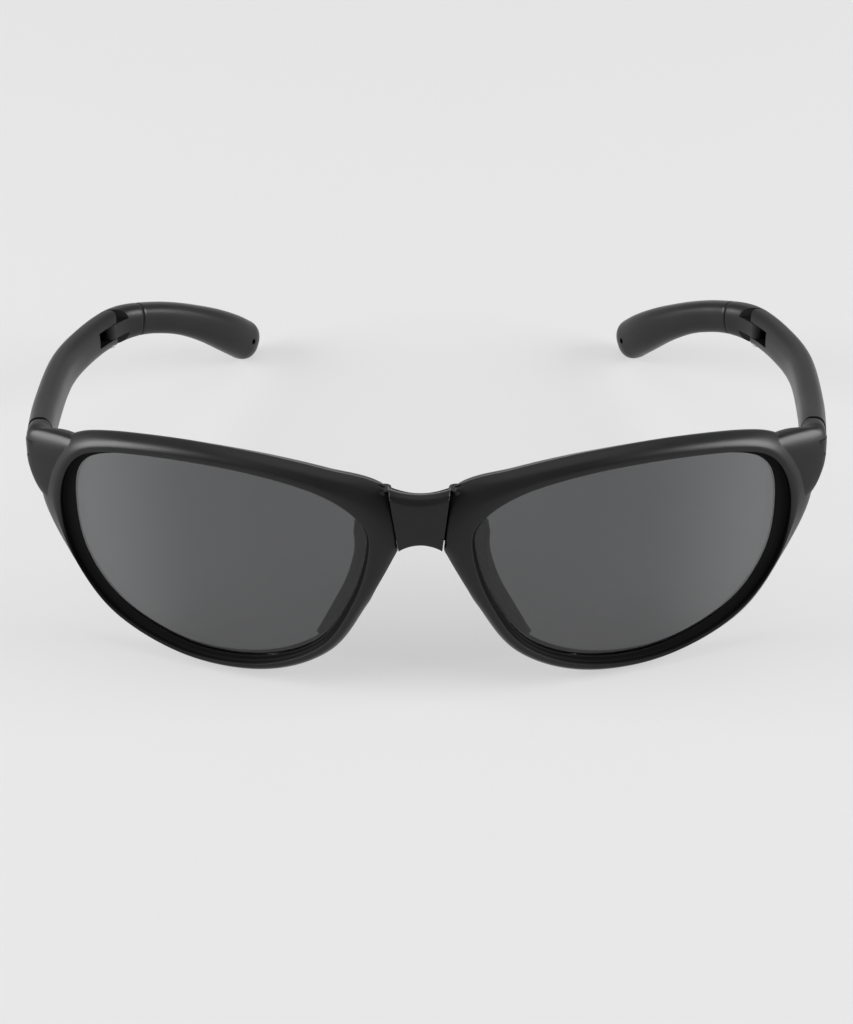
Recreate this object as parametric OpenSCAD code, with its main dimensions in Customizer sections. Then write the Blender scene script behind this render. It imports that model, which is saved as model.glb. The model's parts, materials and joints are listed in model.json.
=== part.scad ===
// Folding sunglasses, open and standing on the lower rims and the temple tips.
// The front faces -Y, the temples run back along +Y, and left is the -X side.
// All sizes are in millimetres.

/* [Front] */
// Radius of the wrapped front surface
wrap_r = 125; // [115:1:150]
// Lean of the lens plane, top forwards of the bottom
front_lean = 4; // [0:0.5:8]
// Distance from the middle of the nose to a lens opening
nose_half = 10.1; // [9.9:0.1:10.8]
// Width of a lens opening
lens_w = 56.4; // [54:0.1:57]
// Height of a lens opening
lens_h = 39.9; // [37:0.1:41]
// Thickness of a lens
lens_t = 1.8; // [1.4:0.1:2]
// Depth of the lens face behind the front surface
lens_recess = 1.9; // [1.5:0.1:2.1]
// Depth of the groove that holds the lens edge
groove = 0.8; // [0.5:0.1:1]

/* [Rims] */
// Width of the rim above the lens
rim_top = 3.6; // [3.4:0.1:4.4]
// Width of the rim below the lens
rim_bottom = 3.4; // [3.2:0.1:4.2]
// Width of the rim beside the nose
rim_nose = 3.2; // [3.1:0.1:3.8]
// Width of the rim at the temple
rim_side = 7.6; // [7.2:0.1:7.8]
// Width of the shoulder that runs to the bridge
rim_shoulder = 8.4; // [8:0.1:9]
// Thickness of the rim beside the bridge
rim_t = 5.8; // [5.4:0.1:6.2]
// Thickness of the rim at the temple
rim_side_t = 4.4; // [4.3:0.1:4.8]

/* [Bridge] */
// Half width of the bridge at its top edge
bridge_top_half = 5.8; // [5.4:0.1:6.2]
// Half width of the bridge at its bottom edge
bridge_bottom_half = 4.1; // [3.8:0.1:4.5]
// Height of the bridge's top corners above the lens middle
bridge_top_z = 18.8; // [18.2:0.1:19.2]
// Height of the bridge's bottom corners above the lens middle
bridge_bottom_z = 6.2; // [5.6:0.1:6.8]
// Depth of the dip in the bridge's top edge
bridge_dip = 1.1; // [0.4:0.1:1.8]
// Rise of the arch in the bridge's bottom edge
bridge_arch = 1.3; // [0.8:0.1:1.8]
// Width of the seam between bridge and rim
seam = 0.3; // [0.2:0.05:0.4]
// Radius of a bridge hinge knuckle
bridge_knuckle_r = 1.7; // [1.5:0.05:1.8]
// Distance of a bridge hinge pin outside its seam
bridge_pin_out = 1.3; // [1.2:0.05:1.5]
// Radius of a bridge hinge pin
bridge_pin_r = 0.7; // [0.5:0.05:0.8]
// Height of the bridge's middle knuckle
bridge_knuckle_h = 4.4; // [3.8:0.1:5]

/* [Temples] */
// Distance of a temple hinge pin outside the lens opening
hinge_out = 7.5; // [7.2:0.1:7.8]
// Depth of a temple hinge pin behind the front surface beside the lens
hinge_back = 9.1; // [8.9:0.1:9.8]
// Height of a temple's middle above the lens middle, at the hinge
hinge_z = 15.8; // [15.5:0.1:16.2]
// Thickness of a temple at the hinge
temple_t = 5.2; // [5:0.1:5.4]
// Height of a temple at the hinge
temple_h = 8.6; // [8.4:0.1:9]
// Thickness of a temple at the fold
fold_t = 4.8; // [4.6:0.1:5]
// Height of a temple at the fold
fold_h = 7.8; // [7.6:0.1:8.2]
// Angle that a temple folds in
temple_fold = 64; // [50:1:64]
// Angle that the rear half of a temple folds in
rear_fold = 134; // [120:1:134]
// Radius of a temple hinge pin
pin_r = 0.8; // [0.7:0.05:0.9]
// Radius of the pin in a temple's fold
fold_pin_r = 0.6; // [0.5:0.05:0.7]
// Distance of a fold pin from the temple's inner face
fold_in = 1.7; // [1.6:0.05:1.75]
// Length of the slot in a temple's fork
slot_l = 6.2; // [6:0.1:6.6]
// Thickness of the wall outside the slot
slot_wall = 0.75; // [0.6:0.05:0.75]
// Height of the middle knuckle at the temple hinge
hinge_knuckle_h = 3; // [2.6:0.1:3.4]
// Height of the middle knuckle at the fold
fold_knuckle_h = 3.1; // [2.8:0.1:3.2]
// Radius of a hinge screw's head
screw_head_r = 1.35; // [1.2:0.05:1.5]
// Height of a hinge screw's head
screw_head_h = 0.8; // [0.6:0.05:1]

/* [Tips] */
// Height of a tip at its neck
neck_h = 6.7; // [6.4:0.1:7.4]
// Height of a tip at its thickest
tip_h = 8.8; // [8.2:0.1:9.6]
// Thickness of a tip at its thickest
tip_t = 6.6; // [6.2:0.1:7]
// Radius of the cord hole through a tip
cord_hole_r = 0.6; // [0.5:0.05:0.8]
// Length of the tenon that carries a tip
tenon_l = 5; // [4:0.5:5.5]
// Thickness of the tenon
tenon_t = 2; // [1.6:0.1:2.4]

/* [Nose pads] */
// Depth of a nose pad behind the rim
pad_t = 5.4; // [4.8:0.1:5.8]
// Width of a nose pad
pad_w = 4.6; // [4.2:0.1:4.8]

/* [Clearances] */
// Radial clearance of a pin in the knuckle that turns on it
run_fit = 0.05; // [0.02:0.01:0.08]
// Radial clearance of a pin in the knuckle that holds it
hold_fit = 0.02; // [0.01:0.01:0.04]
// Gap between parts that move past each other
move_gap = 0.25; // [0.2:0.05:0.3]
// Gap between the end faces of neighbouring knuckles
side_gap = 0.15; // [0.1:0.05:0.2]
// Gap round a lens in its groove
lens_gap = 0.05; // [0.03:0.01:0.08]
// Thickness of the bond between a nose pad and its rim
pad_gap = 0.03; // [0.02:0.01:0.06]

/* [Hidden] */
$fn = 48;

frame_black = "#1c1c1e";
lens_grey = "#3c3e40";
pad_black = "#101011";
steel = "#b9bcc0";

// Lens outline: its corners as shares of the half width and half height,
// and the width of the rim outside each
lens_marks = [
    [1.0, 0.28, rim_side], [0.945, 0.70, rim_side - 2.6], [0.715, 0.905, rim_top],
    [0.24, 0.985, rim_top], [-0.26, 0.96, rim_top + 0.2], [-0.70, 0.82, rim_top + 1.3],
    [-0.968, 0.56, rim_shoulder], [-0.993, 0.25, rim_shoulder - 3], [-0.882, -0.24, rim_nose + 0.2],
    [-0.655, -0.75, rim_nose], [-0.26, -1.02, rim_bottom], [0.24, -1.03, rim_bottom],
    [0.69, -0.73, rim_bottom + 0.9], [0.935, -0.25, rim_side - 3.1]];
// Stations between two corners of the lens outline
rim_steps = 6;

// Path of a temple's middle behind its hinge: inwards, back and up
temple_marks = [
    [0.3, -8, -0.2], [0, 0, 0], [-1, 14.7, 0.4], [-0.7, 33.3, 1.4], [2.3, 46.1, 2.1], [6.7, 56.3, 2.4],
    [11.9, 62.4, 1.8], [18, 69.1, -0.7], [23.8, 75.7, -4.7], [28.4, 81.6, -9.1],
    [31.9, 87.4, -13.6], [35, 93, -17.8]];
// The arm from a rim to its temple hinge: place from the hinge, height and thickness
arm_marks = [
    [-16, -12, 0.4, 5, 3.4], [-11.5, -9, 0.1, 6, 3.4], [-6, -5.7, -4.1, 15.6, 4],
    [-2.8, -3.2, -3.4, 14.6, 4.6],
    [-0.4, -1.65, -1.6, 11.2, 5.6], [0, 0, 0, temple_h, temple_t], [0, 2, 0, temple_h, temple_t],
    [0, 4, 0, temple_h, temple_t]];
// Places on the path, where 1 is the hinge: the fold pin, the tip's seam and the tip's last full section
fold_u = 4.75;
seam_u = 5.85;
last_u = 9.6;

lens_x = nose_half + lens_w / 2;
seam_lean = atan2(bridge_top_half - bridge_bottom_half, bridge_top_z - bridge_bottom_z);
bridge_mid_z = (bridge_top_z + bridge_bottom_z) / 2;
bridge_pin_y = rim_t - bridge_knuckle_r;
bridge_pin_x = (bridge_top_half + bridge_bottom_half) / 2 + bridge_pin_out;
hinge_r = temple_t / 2;
fold_out = fold_t - fold_in;

// A smooth curve through the points p, where u = 1 is the second point
function blend(a, b, c, d, t) =
    0.5 * (2 * b + (c - a) * t + (2 * a - 5 * b + 4 * c - d) * t * t
    + (3 * b - a - 3 * c + d) * t * t * t);
function on_path(p, u) = let(i = min(max(floor(u), 1), len(p) - 3), t = u - i)
    blend(p[i - 1], p[i], p[i + 1], p[i + 2], t);
function on_ring(p, u) = let(n = len(p), i = floor(u), t = u - i)
    blend(p[(i + n - 1) % n], p[i % n], p[(i + 1) % n], p[(i + 2) % n], t);
function unit(v) = v / norm(v);
function ease(t) = let(k = min(1, max(0, t))) k * k * (3 - 2 * k);

// Lens outline point with the rim's width there, and its outward normal
function lens_mark(u) = let(m = on_ring(lens_marks, u))
    [lens_x + m[0] * lens_w / 2, m[1] * lens_h / 2, m[2]];
function lens_out(u) = let(n = len(lens_marks), a = lens_mark(u + n - 0.05), b = lens_mark(u + n + 0.05),
    d = unit([b[0] - a[0], b[1] - a[1]])) [d[1], -d[0]];
function lens_edge(grow) = [for (i = [0 : len(lens_marks) * rim_steps - 1]) let(u = i / rim_steps,
    m = lens_mark(u), o = lens_out(u)) [m[0] + o[0] * grow, m[1] + o[1] * grow]];

// Depth of the surface that lies g behind the wrapped front
function front_y(x, z, g) = wrap_r - sqrt((wrap_r - g) * (wrap_r - g) - x * x - z * z);

// Rim thickness, which thins from the bridge to the temple
function rim_depth(x) = rim_t + (rim_side_t - rim_t) * min(1, max(0, (x - 22) / (lens_x - 2)));

// The rim's cross-section of width w and depth d, as distance outside the lens opening and depth
function rim_section(w, d) = [
    [0, 1.15], [0.35, 0.62], [0.3 * w, 0.12], [0.5 * w, 0], [0.72 * w, 0.4], [0.9 * w, 1.2],
    [w, 2.1], [w - 0.35, 3.1], [w - 1, d - 0.8], [0.5 * w + 0.1, d - 0.1], [1.1, d], [0.5, d - 0.2],
    [0.3, d - 0.45], [0.3, lens_recess + lens_t + lens_gap],
    [groove, lens_recess + lens_t + lens_gap], [groove, lens_recess - lens_gap],
    [0, lens_recess - lens_gap]];
rim_rows = [for (i = [0 : len(lens_marks) * rim_steps - 1]) let(u = len(lens_marks) - i / rim_steps,
    m = lens_mark(u), o = lens_out(u), d = rim_depth(m[0])) [for (s = rim_section(m[2], d))
    let(x = m[0] + o[0] * s[0], z = m[1] + o[1] * s[0]) [x, front_y(x, z, s[1]), z]]];

// A rounded bar section across a path: squareness 2 is an ellipse, more is boxier
function bar_section(at, along, t, h, squareness, n = 20) = let(
    d = unit(along), side = unit(cross(d, [0, 0, 1])), up = cross(side, d))
    [for (j = [0 : n - 1]) let(a = 360 * j / n, c = cos(a), s = sin(a), e = 2 / squareness)
        at + side * (t / 2 * sign(c) * pow(abs(c), e)) + up * (h / 2 * sign(s) * pow(abs(s), e))];

// Place of the temple hinge on the right side
hinge_x = lens_x + lens_w / 2 + hinge_out;
hinge_y = front_y(lens_x + lens_w / 2, 0, 0) + hinge_back;

// Place, direction and size of the temple on the right side
function temple_at(u) = let(m = on_path(temple_marks, u)) [hinge_x - m[0], hinge_y + m[1], hinge_z + m[2]];
function temple_along(u) = unit(temple_at(u + 0.05) - temple_at(u - 0.05));
function temple_thick(u) = temple_t + (fold_t - temple_t) * ease((u - 1) / 3)
    + (tip_t - fold_t) * ease((u - seam_u) / 3);
function temple_high(u) = temple_h + (fold_h - temple_h) * ease((u - 1) / 3)
    + (neck_h - fold_h) * ease((u - fold_u) / 1.6) + (tip_h - neck_h) * ease((u - seam_u - 1) / 2.4);
function temple_row(u, shrink = 0) = bar_section(temple_at(u), temple_along(u),
    temple_thick(u) - shrink, temple_high(u) - shrink, 2.7 - 0.3 * ease((u - 7) / 2));
function heading(u) = atan2(-temple_along(u)[0], temple_along(u)[1]);

fold_turn = heading(fold_u);
fold_at = temple_at(fold_u) - (fold_t / 2 - fold_in) * [cos(fold_turn), sin(fold_turn), 0];

// The tip: full sections, then a rounded end
tip_rows = concat([temple_row(seam_u, 0.35)],
    [for (i = [0 : 13]) temple_row(seam_u + 0.05 + i * (last_u - seam_u - 0.05) / 13)],
    [for (a = [20, 40, 55, 68, 78, 86]) bar_section(
        temple_at(last_u) + temple_along(last_u) * tip_t * 0.75 * sin(a), temple_along(last_u),
        temple_thick(last_u) * cos(a), temple_high(last_u) * cos(a), 2.4)]);

// The angle at which lower rim and tip both touch the ground, found in three rounds
function flat(rows) = [for (r = rows) each r];
function drop(p, a) = p[2] * cos(a) - p[1] * sin(a);
function lowest(points, a) = let(v = [for (p = points) drop(p, a)], m = min(v)) points[search(m, v)[0]];
function lean_point(p) = [p[0], p[1] * cos(front_lean) - p[2] * sin(front_lean),
    p[1] * sin(front_lean) + p[2] * cos(front_lean)];
rim_points = [for (p = flat(rim_rows)) lean_point(p)];
tip_points = flat(tip_rows);
function stand(a, rounds) = rounds == 0 ? a : let(f = lowest(rim_points, a), b = lowest(tip_points, a))
    stand(atan2(b[2] - f[2], b[1] - f[1]), rounds - 1);
stance = stand(10, 3);
function ahead(p) = p[1] * cos(stance) + p[2] * sin(stance);
stand_z = -drop(lowest(rim_points, stance), stance);
stand_y = -(min([for (p = rim_points) ahead(p)]) + max([for (p = tip_points) ahead(p)])) / 2;

// A skin over a list of closed sections, with ends or as a ring
module skin(rows, ring = false) {
    n = len(rows);
    m = len(rows[0]);
    last = ring ? n : n - 1;
    sides = [for (i = [0 : last - 1], j = [0 : m - 1]) let(k = (i + 1) % n, l = (j + 1) % m)
        each [[i * m + j, i * m + l, k * m + l], [i * m + j, k * m + l, k * m + j]]];
    ends = ring ? [] : concat([for (j = [1 : m - 2]) [0, j + 1, j]],
        [for (j = [1 : m - 2]) [(n - 1) * m, (n - 1) * m + j, (n - 1) * m + j + 1]]);
    polyhedron(points = flat(rows), faces = concat(sides, ends));
}

// Everything is drawn on the right side in the wearer's frame and set down here
module set_down() {
    translate([0, stand_y, stand_z]) rotate([-stance, 0, 0]) children();
}

module on_side(side) {
    if (side > 0) set_down() children();
    else mirror([1, 0, 0]) set_down() children();
}

module lean_front() {
    rotate([front_lean, 0, 0]) children();
}

// The frame of a bridge pin, at the bridge's middle height
module at_bridge_pin() {
    translate([bridge_pin_x, bridge_pin_y, bridge_mid_z]) rotate([0, seam_lean, 0]) children();
}

// The frame of a fold pin, with the temple running along +Y
module at_fold() {
    translate(fold_at) rotate([0, 0, fold_turn]) children();
}

module at_hinge() {
    translate([hinge_x, hinge_y, hinge_z]) children();
}

module rod(r, low, high) {
    translate([0, 0, low]) cylinder(r = r, h = high - low);
}

module slab(low, high) {
    translate([0, 0, low]) linear_extrude(high - low) children();
}

// Plan of what an arm along +Y sweeps about the origin when it folds to the left
module swept(r, angle) {
    circle(r = r);
    translate([-40, 0]) square([80, 40]);
    rotate(angle) translate([-r, 0]) square([2 * r, 40]);
}

// The same seen from the arm: where the fixed part comes
module swept_back(r, angle) {
    mirror([0, 1]) swept(r, angle);
}

bridge_half_h = (bridge_top_z - bridge_bottom_z) / 2;
hinge_half_h = temple_h / 2;
fold_half_h = fold_h / 2;
barrel_half_h = bridge_half_h - 1;
hinge_slot = hinge_knuckle_h / 2 + side_gap;
fold_slot = fold_knuckle_h / 2 + side_gap;

// The arm from the rim's upper corner to the temple hinge
module end_piece() {
    at_hinge() difference() {
        skin([for (u = [1 : 6]) let(m = on_path(arm_marks, u),
            w = on_path(arm_marks, u + 0.05) - on_path(arm_marks, u - 0.05))
            bar_section([m[0], m[1], m[2]], [w[0], w[1], 0], m[4], m[3], 2.7)]);
        slab(-20, 20) difference() {
            translate([-20, 0]) square([20, 20]);
            circle(r = hinge_r);
        }
    }
}

// The space that the lens and its groove keep free of the end piece
module lens_room() {
    lean_front() translate([0, 60, 0]) rotate([90, 0, 0]) linear_extrude(80)
        polygon(lens_edge(groove + 0.8));
}

// The space below the bridge, where the rim's edge runs straight down from the seam
module nose_room() {
    x = bridge_bottom_half;
    z = bridge_bottom_z;
    translate([0, 60, 0]) rotate([90, 0, 0]) linear_extrude(80)
        polygon([[0, z - 11.8], [x + 5.8, z - 11.8], [x + 4.4, z - 8.4], [x - 1.6, z + 3.1], [0, z + 3.1]]);
}

module rim(side) {
    color(frame_black) on_side(side) difference() {
        union() {
            lean_front() difference() {
                union() {
                    skin(rim_rows, ring = true);
                    at_bridge_pin() rod(bridge_knuckle_r, -barrel_half_h, barrel_half_h);
                }
                at_bridge_pin() {
                    // The seam, and the back corner that turns past the bridge
                    slab(-30, 30) difference() {
                        union() {
                            translate([-40 - bridge_pin_out + seam / 2, -20]) square([40, 40]);
                            translate([-20, 0]) square([20, 20]);
                        }
                        circle(r = bridge_knuckle_r);
                    }
                    rod(bridge_knuckle_r + move_gap, -bridge_knuckle_h / 2, bridge_knuckle_h / 2);
                    rod(bridge_pin_r + hold_fit, -20, 20);
                    for (k = [-1, 1]) translate([-10, -10, k > 0 ? barrel_half_h : -barrel_half_h - 20])
                        cube([10 - bridge_pin_out + seam / 2, 20, 20]);
                }
                nose_room();
            }
            difference() {
                end_piece();
                lens_room();
            }
        }
        at_hinge() {
            slab(-hinge_slot, hinge_slot) swept(hinge_r + move_gap, temple_fold);
            slab(-hinge_half_h - 1, 20) translate([-hinge_r - 14, -2.5]) square([14, 20]);
            rod(pin_r + hold_fit, -20, hinge_half_h - 1.2);
            rod(screw_head_r + hold_fit, -20, -hinge_half_h + 0.3 + screw_head_h);
        }
    }
}

module lens(side) {
    color(lens_grey) on_side(side) lean_front() intersection() {
        translate([0, wrap_r, 0]) difference() {
            sphere(r = wrap_r - lens_recess, $fn = 120);
            sphere(r = wrap_r - lens_recess - lens_t, $fn = 120);
        }
        translate([0, 40, 0]) rotate([90, 0, 0]) linear_extrude(60)
            polygon(lens_edge(groove - lens_gap));
    }
}

// A nose pad's section at place u: a rounded bar whose front lies on the rim's rear face
function pad_row(marks, u, n = 18) = let(p = on_path(marks, u), q = on_path(marks, u + 0.05),
    d = unit([q[0] - p[0], q[1] - p[1]]), e = 2 / 2.4, y = front_y(p[0], p[1], rim_t))
    [for (j = [0 : n - 1]) let(a = 360 * (j + 0.5) / n, c = cos(a), s = sin(a),
        w = pad_w / 2 * min(1, p[2] + 0.2) * sign(s) * pow(abs(s), e),
        x = p[0] + d[1] * w, z = p[1] - d[0] * w)
        [x, max(front_y(x, z, rim_t) + pad_gap,
            y + pad_t / 2 * (p[2] - 0.1 + p[2] * sign(c) * pow(abs(c), e))), z]];

module nose_pad(side) {
    marks = [[11.4, 12.5, 0.3], [10.9, 9.5, 0.45], [10.3, 6, 0.9], [10.4, 2, 1], [11.8, -3.5, 1],
        [14, -8.5, 0.85], [16.9, -13, 0.6], [19.3, -16, 0.35], [21.5, -18, 0.3]];
    color(pad_black) on_side(side) lean_front() skin([for (i = [0 : 24]) pad_row(marks, 1 + i / 4)]);
}

module bridge_pin(side) {
    color(steel) on_side(side) lean_front() at_bridge_pin()
        rod(bridge_pin_r, -barrel_half_h + 0.3, barrel_half_h - 0.3);
}

module bridge_half() {
    steps = 6;
    wide = bridge_top_half + 1;
    difference() {
        union() {
            skin([for (i = [0 : steps]) let(x = wide * (1 - i / steps), k = x / bridge_top_half,
                l = x / bridge_bottom_half, top = bridge_top_z - bridge_dip * (1 - k * k),
                low = bridge_bottom_z + bridge_arch * (1 - l * l))
                [for (s = [[0.05, low + 1.3], [0.35, low + 0.45], [1.2, low], [rim_t - 0.8, low],
                    [rim_t, low + 0.8], [rim_t, top - 2.6], [rim_t - 0.7, top - 1.75], [1.9, top - 0.1],
                    [0.8, top - 0.35], [0.25, top - 1.2], [0.05, top - 2.6]])
                    [x, front_y(x, 0, s[0]), s[1]]]]);
            at_bridge_pin()
                rod(bridge_knuckle_r, -bridge_knuckle_h / 2 + side_gap, bridge_knuckle_h / 2 - side_gap);
        }
        at_bridge_pin() {
            slab(-30, 30) difference() {
                translate([-bridge_pin_out - seam / 2, -20]) square([20, 40]);
                circle(r = bridge_knuckle_r);
            }
            for (k = [-1, 1]) translate([0, 0, k > 0 ? 0 : -20 - bridge_knuckle_h / 2 + side_gap])
                rod(bridge_knuckle_r + move_gap, k > 0 ? bridge_knuckle_h / 2 - side_gap : 0, 20);
            rod(bridge_pin_r + run_fit, -20, 20);
        }
    }
}

module bridge() {
    color(frame_black) set_down() lean_front() {
        bridge_half();
        mirror([1, 0, 0]) bridge_half();
    }
}

module temple_screw(side) {
    color(steel) on_side(side) at_hinge() {
        rod(pin_r, -hinge_half_h + 0.5, hinge_half_h - 1.3);
        rod(screw_head_r, -hinge_half_h + 0.5, -hinge_half_h + 0.3 + screw_head_h);
    }
}

module temple_front(side) {
    color(frame_black) on_side(side) difference() {
        union() {
            skin([for (u = [0.97 : 0.13 : fold_u + 0.26]) temple_row(u)]);
            at_hinge() rod(hinge_r, -hinge_knuckle_h / 2, hinge_knuckle_h / 2);
        }
        at_hinge() {
            for (k = [-1, 1]) slab(k > 0 ? hinge_knuckle_h / 2 : -20, k > 0 ? 20 : -hinge_knuckle_h / 2)
                union() {
                    swept_back(hinge_r + move_gap, temple_fold);
                    translate([0, -20]) square([20, 20 + hinge_r + move_gap]);
                }
            rod(pin_r + run_fit, -20, 20);
        }
        at_fold() {
            slab(-fold_slot, fold_slot) translate([-20, -slot_l]) square([20 + fold_out - slot_wall, 40]);
            slab(-20, 20) difference() {
                translate([-20, 0]) square([40, 40]);
                circle(r = fold_in);
            }
            rod(fold_pin_r + hold_fit, -20, fold_half_h - 1);
            rod(screw_head_r - 0.25 + hold_fit, -20, -fold_half_h + screw_head_h);
        }
    }
}

module fold_screw(side) {
    color(steel) on_side(side) at_fold() {
        rod(fold_pin_r, -fold_half_h + 0.3, fold_half_h - 1.1);
        rod(screw_head_r - 0.25, -fold_half_h + 0.3, -fold_half_h + screw_head_h);
    }
}

// The tenon at the tip's seam, thinner by fit all round
module tenon(fit) {
    a = temple_along(seam_u);
    translate(temple_at(seam_u)) rotate([0, 0, heading(seam_u)]) rotate([asin(a[2]), 0, 0])
        translate([-tenon_t / 2 - fit, -1, -tenon_t - fit])
        cube([tenon_t + 2 * fit, 1 + tenon_l + fit, 2 * (tenon_t + fit)]);
}

module fold_link(side) {
    color(frame_black) on_side(side) {
        difference() {
            union() {
                skin(concat([for (i = [0 : 9]) temple_row(fold_u - 0.13 + i * (seam_u - fold_u + 0.08) / 9)],
                    [temple_row(seam_u, 0.35)]));
                at_fold() rod(fold_in, -fold_knuckle_h / 2, fold_knuckle_h / 2);
            }
            at_fold() {
                for (k = [-1, 1]) slab(k > 0 ? fold_knuckle_h / 2 : -20, k > 0 ? 20 : -fold_knuckle_h / 2)
                    union() {
                        swept_back(fold_in + move_gap, rear_fold);
                        translate([-20, -20]) square([40, 20 + move_gap]);
                    }
                slab(-fold_knuckle_h, fold_knuckle_h) difference() {
                    translate([-20, -20]) square([40, 20 + move_gap]);
                    circle(r = fold_in);
                }
                rod(fold_pin_r + run_fit, -20, 20);
            }
        }
        tenon(0);
    }
}

module temple_tip(side) {
    color(frame_black) on_side(side) difference() {
        skin(tip_rows);
        tenon(hold_fit);
        translate(temple_at(last_u)) rotate([0, 0, heading(last_u)]) rotate([0, 90, 0])
            cylinder(r = cord_hole_r, h = 30, center = true);
    }
}

bridge();
rim(-1);  // rim_left
rim(1);  // rim_right
lens(-1);  // lens_left
lens(1);  // lens_right
nose_pad(-1);  // nose_pad_left
nose_pad(1);  // nose_pad_right
bridge_pin(-1);  // bridge_pin_left
bridge_pin(1);  // bridge_pin_right
temple_screw(-1);  // temple_screw_left
temple_screw(1);  // temple_screw_right
temple_front(-1);  // temple_front_left
temple_front(1);  // temple_front_right
fold_screw(-1);  // fold_screw_left
fold_screw(1);  // fold_screw_right
fold_link(-1);  // fold_link_left
fold_link(1);  // fold_link_right
temple_tip(-1);  // temple_tip_left
temple_tip(1);  // temple_tip_right
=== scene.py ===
"""Folding sunglasses, dressed for a plain studio render.

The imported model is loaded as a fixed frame. The frame's visible nodes are replaced by
finer surfaces of the same shape, worked out with numpy, and every piece gets a procedural
finish. Shapes are worked out in millimetres in the wearer's frame (x to the right,
y back from the bridge, z up) and set down on the floor in metres at the end.
"""
import json
import logging
import math
from dataclasses import dataclass, field
from enum import Enum
from typing import Optional, Sequence

import bpy
import numpy as np
from bpy.types import ID, Material, Node, NodeSocket, NodeTree, Object
from mathutils import Matrix


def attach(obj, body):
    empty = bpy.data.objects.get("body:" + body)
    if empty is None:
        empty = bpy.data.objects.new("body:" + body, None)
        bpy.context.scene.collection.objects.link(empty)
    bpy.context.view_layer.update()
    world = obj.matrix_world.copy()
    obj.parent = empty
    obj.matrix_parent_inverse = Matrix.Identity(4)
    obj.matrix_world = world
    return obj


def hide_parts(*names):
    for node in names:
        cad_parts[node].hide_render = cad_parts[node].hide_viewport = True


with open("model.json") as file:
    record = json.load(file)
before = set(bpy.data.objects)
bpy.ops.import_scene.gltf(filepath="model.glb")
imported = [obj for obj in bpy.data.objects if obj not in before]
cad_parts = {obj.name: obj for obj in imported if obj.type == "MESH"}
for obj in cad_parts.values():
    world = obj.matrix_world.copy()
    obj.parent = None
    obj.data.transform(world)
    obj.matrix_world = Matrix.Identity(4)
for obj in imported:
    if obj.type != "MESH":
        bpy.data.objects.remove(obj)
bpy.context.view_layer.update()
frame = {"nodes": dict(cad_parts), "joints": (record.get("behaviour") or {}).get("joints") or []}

Array = np.ndarray
Point = tuple[float, float, float]

log = logging.getLogger("sunglasses")

# A millimetre in metres, and the step along a curve that gives its direction
MM = 0.001
STEP = 0.05

# How far a cut goes through and beside a piece, and the gaps round a held and a turning pin
THROUGH = 20.0
WIDE = 9.0
FIXED_GAP = 0.02
TURNING_GAP = 0.05


class Side(Enum):
    """A half of the object; the value is the sign of its x coordinates."""

    RIGHT = 1
    LEFT = -1

    @property
    def word(self) -> str:
        """The side's name as it stands in node names."""
        return self.name.lower()


# Curves and frames


def blend(points: Array, i: Array, u: Array) -> Array:
    """Smooth curve through the points, a cubic from point i to the next for each place u.

    Its slope at a point is half the way between the neighbours. The points may be rows of them.
    """
    a, b, c, d = (points[(i + step) % len(points)] for step in (-1, 0, 1, 2))
    t = (u - i).reshape(-1, *[1] * (points.ndim - 1))
    square, cube = 2 * a - 5 * b + 4 * c - d, 3 * b - a - 3 * c + d
    return 0.5 * (2 * b + (c - a) * t + square * t**2 + cube * t**3)


def along_path(points: Array, u: Array) -> Array:
    """Smooth open curve, with its second point at 1 and the last but one at its end."""
    return blend(points, np.clip(np.floor(u).astype(int), 1, len(points) - 3), u)


def round_ring(points: Array, u: Array) -> Array:
    """Smooth closed curve, with its first point at 0."""
    return blend(points, np.floor(u).astype(int), u)


def ease(t: Array) -> Array:
    """Smooth step from 0 to 1 as t goes from 0 to 1."""
    k = np.clip(t, 0.0, 1.0)
    return k * k * (3 - 2 * k)


def rounded(wave: Array, power: Array) -> Array:
    """A sine or cosine to a power with its sign kept, which fills out a section's corners."""
    return np.sign(wave) * np.abs(wave) ** power


def unit(v: Array) -> Array:
    """Each row of v at length 1."""
    return v / np.linalg.norm(v, axis=-1, keepdims=True)


def turn(axis: str, degrees: float) -> Array:
    """4 by 4 rotation about x, y or z, right-handed."""
    c, s = math.cos(math.radians(degrees)), math.sin(math.radians(degrees))
    m = np.eye(4)
    if axis == "x":
        m[1:3, 1:3] = [[c, -s], [s, c]]
    elif axis == "y":
        m[0, 0], m[0, 2], m[2, 0], m[2, 2] = c, s, -s, c
    else:
        m[:2, :2] = [[c, -s], [s, c]]
    return m


def shift(x: float, y: float, z: float) -> Array:
    """4 by 4 translation."""
    m = np.eye(4)
    m[:3, 3] = (x, y, z)
    return m


def moved(points: Array, matrix: Array) -> Array:
    """Points, or rows of points, under a 4 by 4 matrix."""
    flat = points.reshape(-1, 3) @ matrix[:3, :3].T + matrix[:3, 3]
    return flat.reshape(points.shape)


# Sizes, in millimetres


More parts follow.
